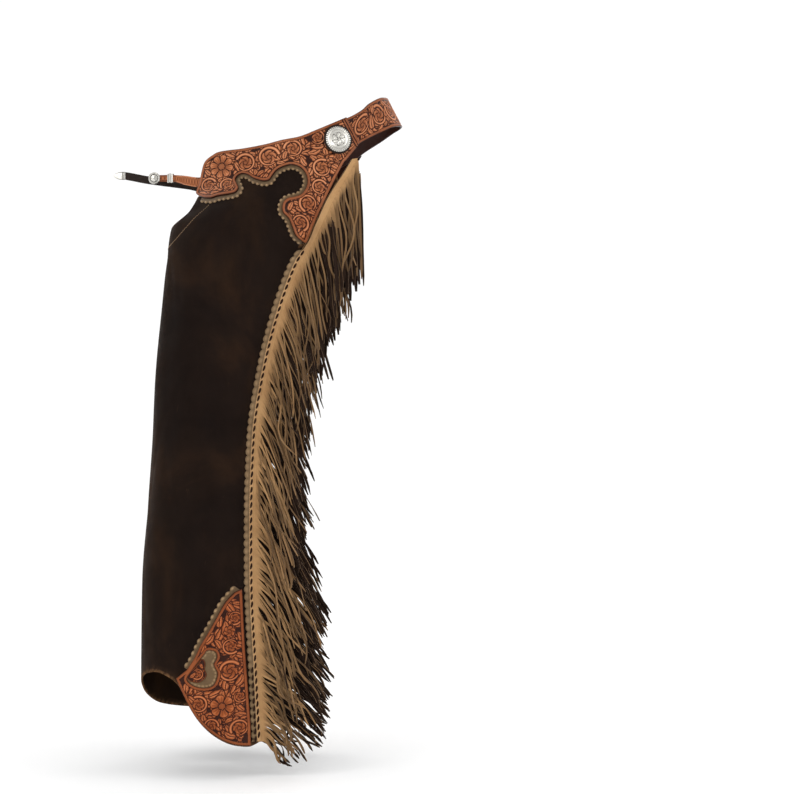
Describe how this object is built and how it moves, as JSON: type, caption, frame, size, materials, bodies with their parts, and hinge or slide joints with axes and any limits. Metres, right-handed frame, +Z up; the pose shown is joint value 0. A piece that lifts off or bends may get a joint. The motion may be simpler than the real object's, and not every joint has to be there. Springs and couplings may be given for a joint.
{
  "type": "leather chaps",
  "caption": "Western leather chaps worn over trousers: open-seated legs hung from tooled hip yokes, a back belt and a front strap, with fringe down each outer seam.",
  "frame": {"origin": "middle of the waist opening, where the wearer's hips hold the belt and yokes", "axes": "+Z up, -X towards the wearer's front, -Y towards the wearer's left side"},
  "size_m": [0.509, 0.4084, 1.1507],
  "materials": {
    "chap_leather": "oiled dark brown, lightly scuffed",
    "tooled_leather": "russet, tooled and antiqued, glossy",
    "trim_suede": "matte taupe suede",
    "fringe_suede": "matte tan suede",
    "dark_fringe": "matte dark brown suede",
    "strap_dark": "dark strap leather",
    "silver": "polished nickel silver, engraved"
  },
  "bodies": {
    "root": {"left_leg": "chap_leather", "right_leg": "chap_leather", "left_yoke": "tooled_leather", "right_yoke": "tooled_leather", "left_yoke_trim": "trim_suede", "right_yoke_trim": "trim_suede", "left_rosette": "strap_dark", "right_rosette": "strap_dark", "left_concho": "silver", "right_concho": "silver", "left_corner": "tooled_leather", "right_corner": "tooled_leather", "left_corner_trim": "trim_suede", "right_corner_trim": "trim_suede", "left_seam_trim": "trim_suede", "right_seam_trim": "trim_suede", "left_fringe": "fringe_suede", "right_fringe": "fringe_suede", "left_under_fringe": "dark_fringe", "right_under_fringe": "dark_fringe", "belt": "tooled_leather", "left_front_strap": "tooled_leather", "right_front_strap": "strap_dark", "buckle": "silver", "strap_keeper": "silver", "strap_tip": "silver"}
  },
  "joints": []
}
